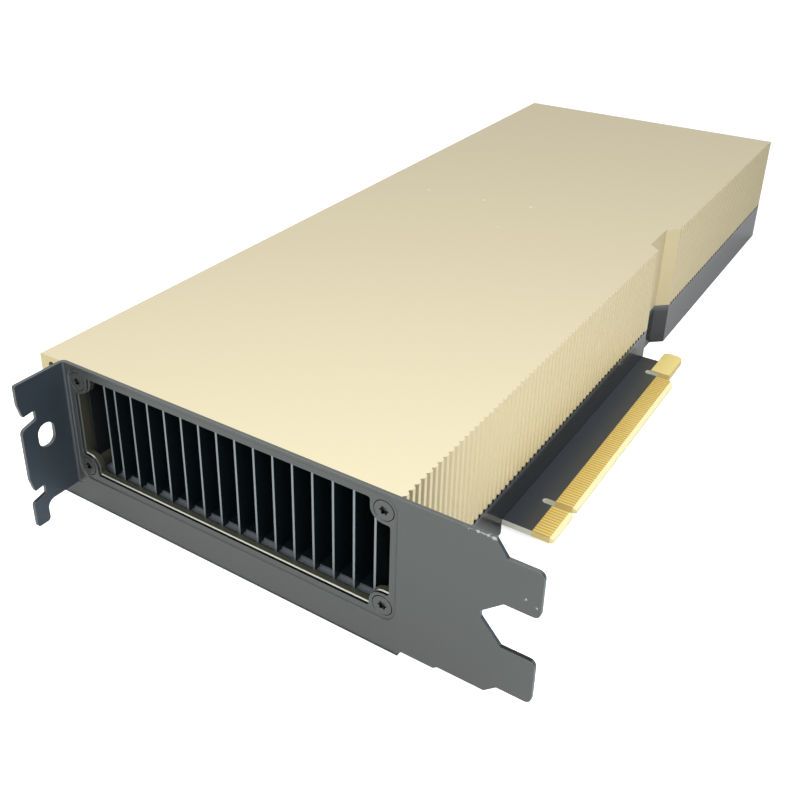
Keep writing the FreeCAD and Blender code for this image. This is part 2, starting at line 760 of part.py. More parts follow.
def make_vent_frame():
    """Dark frame behind the bracket's window, with the bosses that take its screws."""
    body = new_body("vent_frame")
    face = new_sketch(body, "vent_face", "YZ", d.sheet)
    opening = vent_opening(d.frameStep)
    lobe = d.lobeRadius + d.frameStep
    draw_loop(face, [
        (d.ventLowY, d.ventLowZ),
        (d.ventHighY, d.ventLowZ),
        (d.ventHighY, d.windowTopZ),
        (d.screwHighY - lobe, d.windowTopZ),
    ] + opening["rest"][::-1] + [
        (d.screwLowY + lobe, d.windowTopZ),
        (d.ventLowY, d.windowTopZ),
    ])
    pad(body, face, d.flangeThick)

    def on_inner_rim(edge, middle):
        beside = d.ventLowY.value + 0.01 < middle.y < d.ventHighY.value - 0.01
        between = d.ventLowZ.value + 0.01 < middle.z < d.windowTopZ.value - 0.01
        return abs(middle.x - d.sheet.value) < 1e-6 and beside and between
    soften(body, "Chamfer", d.ventChamfer, on_inner_rim)

    rib = new_sketch(body, "vent_rib", "YZ", d.sheet + d.flangeThick)
    draw_box(rib, d.windowHighY - d.frameStep, d.windowLowZ, d.ventHighY, d.windowTopZ)
    pad(body, rib, d.ventRibDeep - d.flangeThick)
    bosses = new_sketch(body, "vent_bosses", "YZ", d.sheet)
    holes = new_sketch(body, "vent_holes", "YZ", d.sheet)
    for name, y, z in vent_screw_places():
        draw_circle(bosses, y, z, d.bossRadius)
        draw_circle(holes, y, z, d.threadRadius + d.slip)
    pad(body, bosses, d.bossEnd - d.sheet)
    pocket(body, holes, d.bossEnd)
    for name, y, z in vent_screw_places():
        sink_hole(body, name, y, z, d.sheet, d.threadRadius + 0.45, size(0.4))
    return body


# ---------------------------------------------------------------- cover
def make_cover():
    """Aluminium cover: roof, fluted side with a recess, plain side, flanged ends."""
    body = new_body("cover")
    shell = new_sketch(body, "cover_outline", "XY", d.coverLow)
    draw_loop(shell, plan_outline())
    pad(body, shell, d.coverTop - d.coverLow)

    hollow = new_sketch(body, "cover_hollow", "XY", d.coverLow)
    draw_loop(hollow, plan_inside(d.coverWall, d.flangeThick, d.rearThick))
    pocket(body, hollow, d.coverTop - d.coverRoof - d.coverLow)

    front = new_sketch(body, "front_opening", "YZ", d.sheet)
    draw_box(front, d.ventLowY, d.coverLow, d.ventHighY, d.windowTopZ)
    pocket(body, front, d.flangeThick)
    hole = new_sketch(body, "flange_hole", "YZ", d.sheet)
    draw_circle(hole, d.flangeHoleY, d.flangeHoleZ, d.flangeHoleBore / 2)
    pocket(body, hole, d.flangeThick)

    intake = new_sketch(body, "intake", "YZ", d.cardLength - d.rearThick)
    draw_loop(intake, [
        (d.intakeLowY, d.coverLow),
        (d.intakeHighY, d.coverLow),
        (d.intakeHighY, d.intakeTop, d.intakeRound),
        (d.intakeLowY, d.intakeTop, d.intakeRound),
    ])
    pocket(body, intake, d.rearThick)
    extender = new_sketch(body, "extender_holes", "YZ", d.cardLength - d.rearThick)
    for y in (d.extenderLowY, d.extenderHighY):
        for z in (d.extenderLowZ, d.extenderHighZ):
            draw_circle(extender, y, z, d.extenderBore / 2)
    pocket(body, extender, d.rearThick)

    def on_roof_rim(edge, middle):
        high = abs(middle.z - d.coverTop.value) < 1e-6
        return high and (abs(middle.y - d.cardReach.value) < 1e-6
                         or abs(middle.x - d.cardLength.value) < 1e-6)
    soften(body, "Fillet", d.coverRound, on_roof_rim)

    for name, start, count in (("flute", d.fluteStart, d.flutesNear),
                               ("far_flute", d.fluteFarStart, d.flutesFar)):
        groove = new_sketch(body, name, "XY", d.coverLow)
        half = d.fluteWide / 2
        draw_loop(groove, [
            (start - half, d.sideY),
            (start + half, d.sideY),
            (start, d.sideY + d.fluteDeep),
        ])
        first = pocket(body, groove, d.coverTop - d.coverLow)
        row_of(body, [first], "X", count, d.flutePitch)
    return body


# ---------------------------------------------------------------- frame and back
def case_screw_places():
    """Centres of the case screws, in plan."""
    for number in range(int(d.postCount.value)):
        for y in (d.sideY + d.postInset, d.cardReach - d.postInset):
            yield d.postFirst + d.postStep * number, y


def make_frame():
    """Black cast frame: walls all round, ledge over the board, posts for the case screws."""
    body = new_body("frame")
    walls = new_sketch(body, "frame_outline", "XY", -d.baseDrop)
    draw_loop(walls, plan_outline())
    pad(body, walls, d.coverLow + d.baseDrop)

    below = new_sketch(body, "board_pocket", "XY", -d.baseDrop)
    draw_loop(below, plan_inside(d.frameWall, d.flangeThick, d.rearThick))
    pocket(body, below, d.baseDrop)
    rim = d.frameWall + d.ledgeWide
    middle = new_sketch(body, "ledge_opening", "XY")
    draw_loop(middle, plan_inside(rim, d.flangeThick + d.ledgeWide, d.rearThick + d.ledgeWide))
    pocket(body, middle, d.ledgeThick)
    above = new_sketch(body, "frame_hollow", "XY", d.ledgeThick)
    draw_loop(above, plan_inside(d.frameWall, d.flangeThick, d.rearThick))
    pocket(body, above, d.coverLow - d.ledgeThick)

    gap = new_sketch(body, "connector_gap", "XY", -d.baseDrop)
    draw_box(gap, d.gapNear, d.sideY - 1, d.gapFar, d.recessY + d.frameWall + d.wallSlip)
    pocket(body, gap, d.baseDrop + d.gapTop)
    vent = new_sketch(body, "vent_seat", "YZ", d.sheet)
    draw_box(vent, d.ventLowY, d.ventLowZ, d.ventHighY, d.coverLow)
    pocket(body, vent, d.flangeThick)
    power = new_sketch(body, "power_opening", "YZ", d.cardLength - d.rearThick - d.ledgeWide)
    draw_box(power, d.socketLowY - d.socketGap, 0,
             d.socketLowY + d.socketWide + d.socketGap, d.coverLow)
    pocket(body, power, d.rearThick + d.ledgeWide)

    posts = new_sketch(body, "posts", "XY")
    for x, y in case_screw_places():
        draw_circle(posts, x, y, d.postRadius)
    pad(body, posts, d.postTop)
    holes = new_sketch(body, "post_holes", "XY")
    for x, y in case_screw_places():
        draw_circle(holes, x, y, d.caseThread + d.slip)
    pocket(body, holes, d.postTop)
    return body


def make_back_plate():
    """Flat plate under the board, open under the processor for the spring brace."""
    body = new_body("back_plate")
    flat = new_sketch(body, "back_outline", "XY", -d.baseDrop)
    inset = d.frameWall + d.plateGap
    draw_loop(flat, plan_inside(inset, d.flangeThick + d.plateGap, d.rearThick + d.plateGap))
    half = d.windowBack / 2
    draw_box(flat, d.chipX - half, d.chipY - half, d.chipX + half, d.chipY + half, 4)
    pad(body, flat, d.plateThick)
    lands = new_sketch(body, "lands", "XY", d.plateThick - d.baseDrop)
    for x, y in case_screw_places():
        draw_circle(lands, x, y, d.postRadius)
    pad(body, lands, d.baseDrop - d.plateThick - d.boardThick)
    holes = new_sketch(body, "back_holes", "XY", -d.baseDrop)
    for x, y in case_screw_places():
        draw_circle(holes, x, y, d.threadRadius)
    pocket(body, holes, d.baseDrop - d.boardThick)

    def on_hole_mouth(edge, middle):
        low = abs(middle.z + d.baseDrop.value) < 1e-6
        return low and hasattr(edge.Curve, "Radius") and edge.Curve.Radius < 1.5
    soften(body, "Chamfer", 0.95, on_hole_mouth)
    return body


def make_case_screws():
    """Countersunk screws through the back plate and the board into the frame's posts."""
    body = new_body("case_screws")
    x = d.postFirst
    y = d.sideY + d.postInset
    section = body.newObject("Sketcher::SketchObject", "case_section")
    section.AttachmentSupport = [(origin_feature(body, "XZ_Plane"), "")]
    section.MapMode = "FlatFace"
    bind(section, "AttachmentOffset.Base.x", x)
    bind(section, "AttachmentOffset.Base.z", -y)
    face = -d.baseDrop + 0.1
    draw_loop(section, [
        (0, face),
        (d.caseThread + 1, face),
        (d.caseThread, face + 1),
        (d.caseThread, d.postTop - 0.4),
        (0, d.postTop - 0.4),
    ])
    turned = turn(body, section, "V_Axis")
    cross = new_sketch(body, "case_recess", "XY", face)
    draw_cross(cross, x, y)
    recess = pocket(body, cross, d.crossDeep)
    row_of(body, [turned, recess], "X", d.postCount, d.postStep,
           ("Y", 2, d.cardReach - d.sideY - d.postInset * 2))
    return body


def make_insulating_film():
    """Polymer film between the board's solder side and the back plate."""
    body = new_body("insulating_film")
    film = new_sketch(body, "film", "XY", d.plateThick - d.baseDrop)
    draw_loop(film, plan_inside(d.filmInset, d.filmInset, d.filmInset))
    half = d.windowBack / 2
    draw_box(film, d.chipX - half, d.chipY - half, d.chipX + half, d.chipY + half, 4)
    pad(body, film, d.filmThick)
    return body


# ---------------------------------------------------------------- circuit board
def make_board():
    """Board with its edge connector: key notch, bevelled fingers and retention hook."""
    body = new_body("circuit_board")
    outline = new_sketch(body, "board_outline", "XY", -d.boardThick)
    half_key = d.keyWide / 2
    gap = (d.hookNear - d.fingersFar) / 2
    rise = (d.recessY - d.sideY) / (d.recessNearFoot - d.recessNear)
    slope_foot = d.boardLowY + (d.tongueFar - d.recessNear + d.frameWall) * rise
    draw_loop(outline, [
        (d.boardNear, d.boardLowY),
        (d.tongueNear, d.boardLowY),
        (d.tongueNear, 0, 0.5),
        (d.keyX - half_key, 0),
        (d.keyX - half_key, d.keyDeep, half_key * 0.98),
        (d.keyX + half_key, d.keyDeep, half_key * 0.98),
        (d.keyX + half_key, 0),
        (d.fingersFar - 1.7, 0),
        (d.fingersFar, 2),
        (d.fingersFar, d.hookGapDeep, gap * 0.98),
        (d.hookNear, d.hookGapDeep, gap * 0.98),
        (d.hookNear, d.hookLow),
        (d.hookFar, d.hookLow, d.hookRound + 1),
        (d.hookFar, d.hookHigh, d.hookRound),
        (d.tongueFar, d.hookHigh),
        (d.tongueFar, slope_foot),
        (d.recessNearFoot - d.frameWall, d.recessY + d.frameWall + d.boardSlip),
        (d.recessFarFoot + d.frameWall, d.recessY + d.frameWall + d.boardSlip),
        (d.recessFar + d.frameWall, d.boardLowY),
        (d.boardFar, d.boardLowY),
        (d.boardFar, d.boardHighY),
        (d.boardNear, d.boardHighY),
    ])
    for x, y in case_screw_places():
        draw_circle(outline, x, y, d.threadRadius + d.boardSlip)
    for x, y in column_places():
        draw_circle(outline, x, y, d.threadRadius + 0.55)
    pad(body, outline, d.boardThick)
    for name, face, towards in (("bevel_top", 0, -1), ("bevel_back", -d.boardThick, 1)):
        bevel = new_sketch(body, name, "YZ", d.tongueNear - 1)
        face = size(face)
        draw_loop(bevel, [
            (-0.5, face - towards * 0.5),
            (d.bevelRun, face),
            (0, face + d.bevelDeep * towards),
            (-0.5, face + d.bevelDeep * towards),
        ])
        pocket(body, bevel, d.fingersFar - d.tongueNear + 1.2)
    return body


def column_places():
    """Centres of the four screw columns round the processor, in plan."""
    half = d.columnSpan / 2
    for x in (d.chipX - half, d.chipX + half):
        for y in (d.chipY - half, d.chipY + half):
            yield x, y


def make_contacts(label, height):
    """Gold contacts of one face of the edge connector, a group of separate pads."""
    body = new_body(label)
    starts = ((d.keyX - d.padOffset, d.padsNear, -1), (d.keyX + d.padOffset, d.padsFar, 1))
    for number, (x, count, way) in enumerate(starts):
        finger = new_sketch(body, f"contact_{number}", "XY", height)
        half = d.padWide / 2
        draw_box(finger, x - half, d.bevelRun + d.slip, x + half, d.padEnd)
        first = pad(body, finger, d.padThick)
        line = row_of(body, [first], "X", count, d.padPitch)
        line.Reversed = way < 0
    return body


def make_hook_plating():
    """Gold plating on both faces of the retention hook."""
    body = new_body("hook_plating")
    for name, height in (("hook_face", size(0)), ("hook_back", -d.boardThick - d.padThick)):
        face = new_sketch(body, name, "XY", height)
        near = d.hookNear + d.boardSlip
        draw_loop(face, [
            (near, d.hookLow + d.padInset),
            (d.hookFar - 0.1, d.hookLow + 0.1, d.hookRound + 0.9),
            (d.hookFar - d.padInset, d.hookHigh - d.padInset, d.hookRound - d.padInset),
            (near, d.hookHigh - d.padInset),
        ])
        pad(body, face, d.padThick)
    return body


# ---------------------------------------------------------------- processor
def centred(body, name, x, y, wide, deep, low, tall):
    """Block centred on a point of the board."""
    return block(body, name, (x - wide / 2, y - deep / 2, low),
                 (x + wide / 2, y + deep / 2, size(low) + tall))


def make_substrate():
    body = new_body("processor_substrate")
    centred(body, "substrate", d.chipX, d.chipY, d.substrateSide, d.substrateSide,
            0, d.substrateThick)
    return body


def make_stiffener():
    """Metal ring glued to the rim of the package substrate."""
    body = new_body("package_stiffener")
    ring = new_sketch(body, "ring", "XY", d.substrateThick)
    for half, round_off in ((d.substrateSide / 2 - 0.4, 1.5),
                            (d.substrateSide / 2 - d.stiffenerBand, 2.5)):
        draw_box(ring, d.chipX - half, d.chipY - half, d.chipX + half, d.chipY + half, round_off)
    pad(body, ring, d.stiffenerThick)
    return body


def make_die():
    body = new_body("processor_die")
    centred(body, "die", d.chipX, d.chipY, d.dieX, d.dieY, d.substrateThick, d.dieThick)
    return body


def make_memory():
    """Six memory stacks, three on each side of the die."""
    body = new_body("memory_stacks")
    reach = (d.dieX + d.stackX) / 2 + d.stackGap
    step = d.stackY + d.stackGap
    first = centred(body, "stack", d.chipX - reach, d.chipY - step, d.stackX, d.stackY,
                    d.substrateThick, d.dieThick)
    row_of(body, [first], "X", size(2), reach * 2, ("Y", 3, step))
    return body


def make_compound():
    body = new_body("thermal_compound")
    centred(body, "compound", d.chipX, d.chipY, d.dieX + d.stackX * 2, d.dieY,
            d.substrateThick + d.dieThick, d.compoundThick)
    return body


# ---------------------------------------------------------------- heat sink
def make_sink_base():
    """Base plate with a pedestal over the processor and four screw columns."""
    body = new_body("heatsink_base")
    slab = new_sketch(body, "slab", "XY", d.sinkLowZ)
    gap = d.sinkGap
    wall = d.frameWall + gap
    socket_near = d.socketFace - d.socketLength - gap
    socket_side = d.socketLowY - gap
    draw_loop(slab, [
        (d.sinkFront, d.sinkLowY),
        (d.recessNear - wall, d.sinkLowY),
        (d.recessNearFoot - wall, d.recessY + wall),
        (d.recessFarFoot + wall, d.recessY + wall),
        (d.recessFar + wall, d.sinkLowY),
        (d.sinkRear, d.sinkLowY),
        (d.sinkRear, socket_side),
        (socket_near, socket_side),
        (socket_near, d.sinkHighY),
        (d.sinkFront, d.sinkHighY),
    ])
    pad(body, slab, d.sinkTopZ - d.sinkLowZ)
    top_of_package = d.substrateThick + d.dieThick + d.compoundThick
    centred(body, "pedestal", d.chipX, d.chipY, d.pedestalSide, d.pedestalSide,
            top_of_package, d.sinkLowZ - top_of_package)
    columns = new_sketch(body, "columns", "XY", 0.05)
    holes = new_sketch(body, "column_holes", "XY", 0.05)
    for x, y in column_places():
        draw_circle(columns, x, y, d.columnRadius)
        draw_circle(holes, x, y, d.threadRadius + d.slip)
    pad(body, columns, d.sinkLowZ - d.slip)
    pocket(body, holes, d.sinkLowZ - 0.4)
    return body


def make_fins():
    """Folded sheet fins: a web with a foot and a top flange towards the fingers."""
    body = new_body("fin_stack")
    half = d.finThick / 2
    last_gap = d.finLastY - d.finFirstY - d.finPitch * (d.finsLong + d.finsShort - 1)
    rows = (
        ("edge_fin", d.finFirstY, d.finEdgeFoot, d.sinkRear, size(1)),
        ("long_fin", d.finFirstY + d.finPitch, d.finPitch, d.sinkRear, d.finsLong - 1),
        ("short_fin", d.finFirstY + d.finPitch * d.finsLong, d.finPitch, d.finShortRear,
         d.finsShort),
        ("last_fin", d.finLastY, last_gap, d.finShortRear, size(1)),
    )
    for name, y, reach, rear, count in rows:
        foot_end = y - reach + half + d.finJoint
        web = block(body, name, (d.finFront, y - half, d.sinkTopZ), (rear, y + half, d.finTopZ))
        foot = block(body, name + "_foot", (d.sinkFront, foot_end, d.sinkTopZ),
                     (rear, y, d.sinkTopZ + d.finThick))
        top = block(body, name + "_top", (d.sinkFront, foot_end, d.finTopZ - d.finThick),
                    (rear, y, d.finTopZ))
        if count.value > 1:
            row_of(body, [web, foot, top], "Y", count, d.finPitch)
    return body


def make_air_baffle():
    """Thin wall that keeps the air between the fins, away from the capacitors."""
    body = new_body("air_baffle")
    block(body, "baffle", (d.finFront, d.baffleY, d.sinkTopZ),
          (d.finShortRear, d.baffleY + d.baffleThick, d.finTopZ))
    return body


# ---------------------------------------------------------------- power stage
def make_phase_parts(label, near_x, far_x, wide, deep, low, tall):
    """One block per phase, in two rows beside the processor."""
    body = new_body(label)
    first = centred(body, label + "_one", near_x, d.phaseFirst, wide, deep, low, tall)
    row_of(body, [first], "Y", d.phaseCount, d.phasePitch, ("X", 2, far_x - near_x))
    return body


def make_thermal_pads():
    """Four strips between the power parts and the heat-sink base."""
    body = new_body("thermal_pads")
    low_y = d.phaseFirst - d.stageY / 2
    high_y = d.phaseFirst + d.phasePitch * (d.phaseCount - 1) + d.stageY / 2
    stage = d.stageX / 2
    choke = d.chokeSide / 2
    strips = (
        ("near_stages", d.phaseNearX - d.stageShift, stage, d.stageTall),
        ("near_chokes", d.phaseNearX, choke, d.chokeTall),
        ("far_chokes", d.phaseFarX, choke, d.chokeTall),
        ("far_stages", d.phaseFarX + d.stageShift, stage, d.stageTall),
    )
    for name, x, half, low in strips:
        block(body, name, (x - half, low_y, low), (x + half, high_y, d.sinkLowZ))
    return body


def make_capacitors():
    body = new_body("polymer_capacitors")
    can = new_sketch(body, "can", "XY")
    draw_circle(can, d.canFirst, d.canY, d.canRadius)
    first = pad(body, can, d.canTall)
    soften(body, "Chamfer", 0.4, lambda edge, middle: abs(middle.z - d.canTall.value) < 1e-6)
    rounded = body.Tip
    row_of(body, [first, rounded], "X", d.canCount, d.canStep)
    return body


def make_support_chips():
    """Regulator controllers and other packages away from the processor."""
    body = new_body("support_chips")
    packages = (
        ("controller", 30, 42, 9, 9, 1.0),
        ("sequencer", 31, 63, 6, 5, 0.9),
        ("monitor", 45, 82, 5, 4, 0.9),
        ("flash", 208, 30, 8, 5, 1.6),
        ("supervisor", 212, 52, 7, 7, 0.9),
        ("input_filter", 232, 88, 10, 10, 4.0),
    )
    for name, x, y, wide, deep, tall in packages:
        centred(body, name, size(x), size(y), size(wide), size(deep), 0, tall)
    return body


# ---------------------------------------------------------------- spring brace
def make_brace():
    """Steel spring frame behind the processor."""
    body = new_body("spring_brace")
    low = -d.boardThick - d.braceThick
    flat = new_sketch(body, "brace", "XY", low)
    outer = d.columnSpan / 2 + d.columnRadius
    inner = outer - d.braceBand
    for half, turn_radius in ((outer, d.columnRadius), (inner, d.braceBand)):
        draw_box(flat, d.chipX - half, d.chipY - half, d.chipX + half, d.chipY + half,
                 turn_radius)
    for x, y in column_places():
        draw_circle(flat, x, y, d.threadRadius + 0.35)
    pad(body, flat, d.braceThick)
    return body


def make_brace_screws():
    """Pan-head screws from the brace into the heat sink's columns."""
    body = new_body("brace_screws")
    under = -d.boardThick - d.braceThick - d.washerThick
    x = d.chipX - d.columnSpan / 2
    y = d.chipY - d.columnSpan / 2
    head = new_sketch(body, "brace_head", "XY", under - d.panTall)
    draw_circle(head, x, y, d.panRadius)
    crown = pad(body, head, d.panTall)
    shank = new_sketch(body, "brace_shank", "XY", under)
    draw_circle(shank, x, y, d.threadRadius)
    stem = pad(body, shank, d.sinkLowZ - 0.6 - under)
    cross = new_sketch(body, "brace_recess", "XY", under - d.panTall)
    draw_cross(cross, x, y)
    recess = pocket(body, cross, d.braceCrossDeep)
    row_of(body, [crown, stem, recess], "X", size(2), d.columnSpan, ("Y", 2, d.columnSpan))
    return body


def make_brace_washers():
    body = new_body("brace_washers")
    x = d.chipX - d.columnSpan / 2
    y = d.chipY - d.columnSpan / 2
    ring = new_sketch(body, "washer", "XY", -d.boardThick - d.braceThick - d.washerThick)
    draw_circle(ring, x, y, d.panRadius + 0.3)
    draw_circle(ring, x, y, d.threadRadius + d.slipHole)
    first = pad(body, ring, d.washerThick)
    row_of(body, [first], "X", size(2), d.columnSpan, ("Y", 2, d.columnSpan))
    return body


# ---------------------------------------------------------------- power socket
def cavity_start():
    """Centre of the first of eight cavities, drawn (Y, Z)."""
    return (d.socketLowY + d.socketWide / 2 - d.cavityPitch * 1.5,
            d.socketLowZ + d.socketTall / 2 - d.cavityPitch / 2)


def make_socket():
    """Eight-way power socket with a catch for the plug's latch."""
    body = new_body("power_socket")
    back = d.socketFace - d.socketLength
    block(body, "housing", (back, d.socketLowY, d.socketLowZ),
          (d.socketFace, d.socketLowY + d.socketWide, d.socketLowZ + d.socketTall))
    top = d.socketLowZ + d.socketTall
    middle = d.socketLowY + d.socketWide / 2
    wedge = new_sketch(body, "catch", "XZ", -middle - d.catchWide / 2)
    draw_loop(wedge, [
        (d.socketFace - d.catchLong, top - 0.4),
        (d.socketFace - 1, top - 0.4),
        (d.socketFace - 1, top + 0.3),
        (d.socketFace - d.catchLong, top + d.catchTall),
    ])
    pad(body, wedge, d.catchWide)
    mouth = new_sketch(body, "cavity_mouth", "YZ", d.socketFace - d.cavityDeep)
    y, z = cavity_start()
    half = d.cavity / 2
    draw_box(mouth, y - half, z - half, y + half, z + half, 0.4)
    first = pocket(body, mouth, d.cavityDeep)
    row_of(body, [first], "Y", size(4), d.cavityPitch, ("Z", 2, d.cavityPitch))
    return body


def make_pins():
    body = new_body("power_socket_pins")
    y, z = cavity_start()
    floor = d.socketFace - d.cavityDeep
    half = d.pinSide / 2
    first = block(body, "pin", (floor, y - half, z - half),
                  (floor + d.pinReach, y + half, z + half))
    row_of(body, [first], "Y", size(4), d.cavityPitch, ("Z", 2, d.cavityPitch))
    return body


# ---------------------------------------------------------------- build, check, export
pieces = [
    make_bracket(),
    make_bracket_screws(),
    make_vent_frame(),
    make_cover(),
    make_frame(),
    make_back_plate(),
    make_case_screws(),
    make_insulating_film(),
    make_board(),
    make_contacts("edge_contacts_front", size(0)),
    make_contacts("edge_contacts_back", -d.boardThick - d.padThick),
    make_hook_plating(),
    make_substrate(),
    make_stiffener(),
    make_die(),
    make_memory(),
    make_compound(),
    make_sink_base(),
    make_fins(),
    make_air_baffle(),
    make_phase_parts("power_chokes", d.phaseNearX, d.phaseFarX, d.chokeSide, d.chokeSide,
                     0, d.chokeTall),
    make_phase_parts("power_stages", d.phaseNearX - d.stageShift, d.phaseFarX + d.stageShift,
                     d.stageX, d.stageY, 0, d.stageTall),
    make_thermal_pads(),
    make_capacitors(),
    make_support_chips(),
    make_brace(),
    make_brace_screws(),
    make_brace_washers(),
    make_socket(),
    make_pins(),
]
doc.recompute()
for item in doc.Objects:
    if "Invalid" in item.State or "Error" in item.State:
        raise RuntimeError(f"{item.Name} did not build: {item.State}")
    if hasattr(item, "Shape") and item.TypeId != "Sketcher::SketchObject":
        if item.Shape.isNull() or not item.Shape.isValid():
            raise RuntimeError(f"{item.Name} has no valid shape")
for body in pieces:
    if not body.Shape.Solids:
        raise RuntimeError(f"{body.Name} holds no solid")

os.makedirs("parts", exist_ok=True)
for body in pieces:
    body.Shape.exportStep(f"parts/{body.Label}.step")
    box = body.Shape.BoundBox
    print(f"{body.Label:22s} {len(body.Shape.Solids):4d} solids  "
          f"{box.XLength:7.2f} {box.YLength:7.2f} {box.ZLength:7.2f}")
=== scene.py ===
import bpy
import bmesh
import math
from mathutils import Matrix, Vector


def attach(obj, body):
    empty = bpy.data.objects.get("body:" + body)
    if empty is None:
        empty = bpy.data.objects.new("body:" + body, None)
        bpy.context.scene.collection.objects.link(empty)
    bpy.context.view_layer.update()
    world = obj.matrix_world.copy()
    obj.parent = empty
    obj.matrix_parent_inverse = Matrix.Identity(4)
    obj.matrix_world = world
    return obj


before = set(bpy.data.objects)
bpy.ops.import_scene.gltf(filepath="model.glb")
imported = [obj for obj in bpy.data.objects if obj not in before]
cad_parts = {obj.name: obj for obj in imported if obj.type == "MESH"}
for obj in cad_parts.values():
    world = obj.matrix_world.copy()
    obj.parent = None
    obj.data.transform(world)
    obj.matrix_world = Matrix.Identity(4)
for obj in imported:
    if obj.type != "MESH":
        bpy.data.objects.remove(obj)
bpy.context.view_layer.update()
scene = bpy.context.scene
mm = 0.001
white = [1, 1, 1, 1]
samples = {"grain": 4, "wearAndHighlight": 6, "corner": 8}      # rays per shaded point
speckle = {"detail": 2.0, "roughness": 0.6}         # fine grain of every coat
# outlines of the marks: size, swing and shift in mm, core as a share of the radius
ragged = {"size": 0.5, "detail": 3.0, "swing": 1.6, "shift": -0.75, "core": 0.4}
print("frame loaded:", len(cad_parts), "nodes")


# linear colour from sRGB in hex
def hexColour(text):
    channels = [int(text[i:i + 2], 16) / 255 for i in (1, 3, 5)]
    return [c / 12.92 if c <= 0.04045 else ((c + 0.055) / 1.055) ** 2.4 for c in channels] + [1]


# adds a node: settings are its attributes, values its sockets, links {socket: (node, output)}
def addNode(tree, kind, settings=None, values=None, links=None):
    node = tree.nodes.new(kind)
    for key, value in (settings or {}).items():
        setattr(node, key, value)
    for key, value in (values or {}).items():
        node.inputs[key].default_value = value
    for key, (source, output) in (links or {}).items():
        tree.links.new(source.outputs[output], node.inputs[key])
    return node


# a value stretched from one span to another
def stretch(tree, source, span, low=0.0, high=1.0, settings=None):
    return addNode(tree, "ShaderNodeMapRange", settings,
                   {"From Min": span[0], "From Max": span[1], "To Min": low, "To Max": high},
                   {"Value": source})


# the place of the shaded point, axis by axis
def splitPlace(tree):
    where = addNode(tree, "ShaderNodeTexCoord")
    return addNode(tree, "ShaderNodeSeparateXYZ", None, None, {"Vector": (where, "Object")})


def splitNormal(tree):
    shape = addNode(tree, "ShaderNodeNewGeometry")
    return addNode(tree, "ShaderNodeSeparateXYZ", None, None, {"Vector": (shape, "Normal")})


def startMaterial(name, shaderValues):
    material = bpy.data.materials.new(name)
    material.use_nodes = True
    tree = material.node_tree
    shader = tree.nodes["Principled BSDF"]
    for key, value in shaderValues.items():
        shader.inputs[key].default_value = value
    return material, tree, shader


# rounded edge highlights and a fine grain, both in the normal
def addGrain(tree, shader, finish):
    where = addNode(tree, "ShaderNodeTexCoord")
    rim = addNode(tree, "ShaderNodeBevel", {"samples": samples["grain"]},
                  {"Radius": finish["edge"] * mm})
    noise = addNode(tree, "ShaderNodeTexNoise", None,
                    {"Scale": 1 / (finish["grainSize"] * mm), "Detail": speckle["detail"],
                     "Roughness": speckle["roughness"]}, {"Vector": (where, "Object")})
    bump = addNode(tree, "ShaderNodeBump", None,
                   {"Distance": finish["grainHeight"] * mm, "Strength": 1.0},
                   {"Height": (noise, "Fac"), "Normal": (rim, "Normal")})
    tree.links.new(bump.outputs["Normal"], shader.inputs["Normal"])


# a colour mix: coat and tint are colours in hex or the earlier mix they continue
def blendColours(tree, coat, tint, factor):
    mix = addNode(tree, "ShaderNodeMix", {"data_type": "RGBA"}, None, {"Factor": factor})
    for socket, source in (("A", coat), ("B", tint)):
        if isinstance(source, str):
            mix.inputs[socket].default_value = hexColour(source)
        else:
            tree.links.new(source.outputs["Result"], mix.inputs[socket])
    return mix


# a second colour on faces turned to within two cosines of a direction, and under a height in mm
def tintFacing(tree, coat, tint, direction, cosines, below=None):
    shape = addNode(tree, "ShaderNodeNewGeometry")
    agree = addNode(tree, "ShaderNodeVectorMath", {"operation": "DOT_PRODUCT"},
                    {1: Vector(direction).normalized()}, {0: (shape, "Normal")})
    share = stretch(tree, (agree, "Value"), cosines)
    if below is None:
        return blendColours(tree, coat, tint, (share, "Result"))
    low = addNode(tree, "ShaderNodeMath", {"operation": "LESS_THAN"}, {1: below * mm},
                  {0: (splitPlace(tree), "Z")})
    both = addNode(tree, "ShaderNodeMath", {"operation": "MULTIPLY"}, None,
                   {0: (low, "Value"), 1: (share, "Result")})
    return blendColours(tree, coat, tint, (both, "Value"))


# lightens convex edges, where the rounded normal leaves the true one: wear where the coat is
# thin, and a painted highlight along the rounded edge
def lightenEdges(tree, coat, wornAndLit, radius, gain):
    rim = addNode(tree, "ShaderNodeBevel", {"samples": samples["wearAndHighlight"]}, {"Radius": radius * mm})
    shape = addNode(tree, "ShaderNodeNewGeometry")
    agree = addNode(tree, "ShaderNodeVectorMath", {"operation": "DOT_PRODUCT"}, None,
                    {0: (rim, "Normal"), 1: (shape, "True Normal")})
    turned = addNode(tree, "ShaderNodeMath", {"operation": "SUBTRACT"}, {0: 1.0},
                     {1: (agree, "Value")})
    amount = addNode(tree, "ShaderNodeMath", {"operation": "MULTIPLY", "use_clamp": True},
                     {1: gain}, {0: (turned, "Value")})
    return blendColours(tree, coat, wornAndLit, (amount, "Value"))


# painted shade in corners and gaps narrower than the reach: free is the open share of the
# surroundings where the painted shade starts and where it is full
def darkenCorners(tree, coat, shadeColour, reach, free):
    shade = addNode(tree, "ShaderNodeAmbientOcclusion", {"samples": samples["corner"]},
                    {"Distance": reach * mm})
    return blendColours(tree, coat, shadeColour, (stretch(tree, (shade, "AO"), free), "Result"))


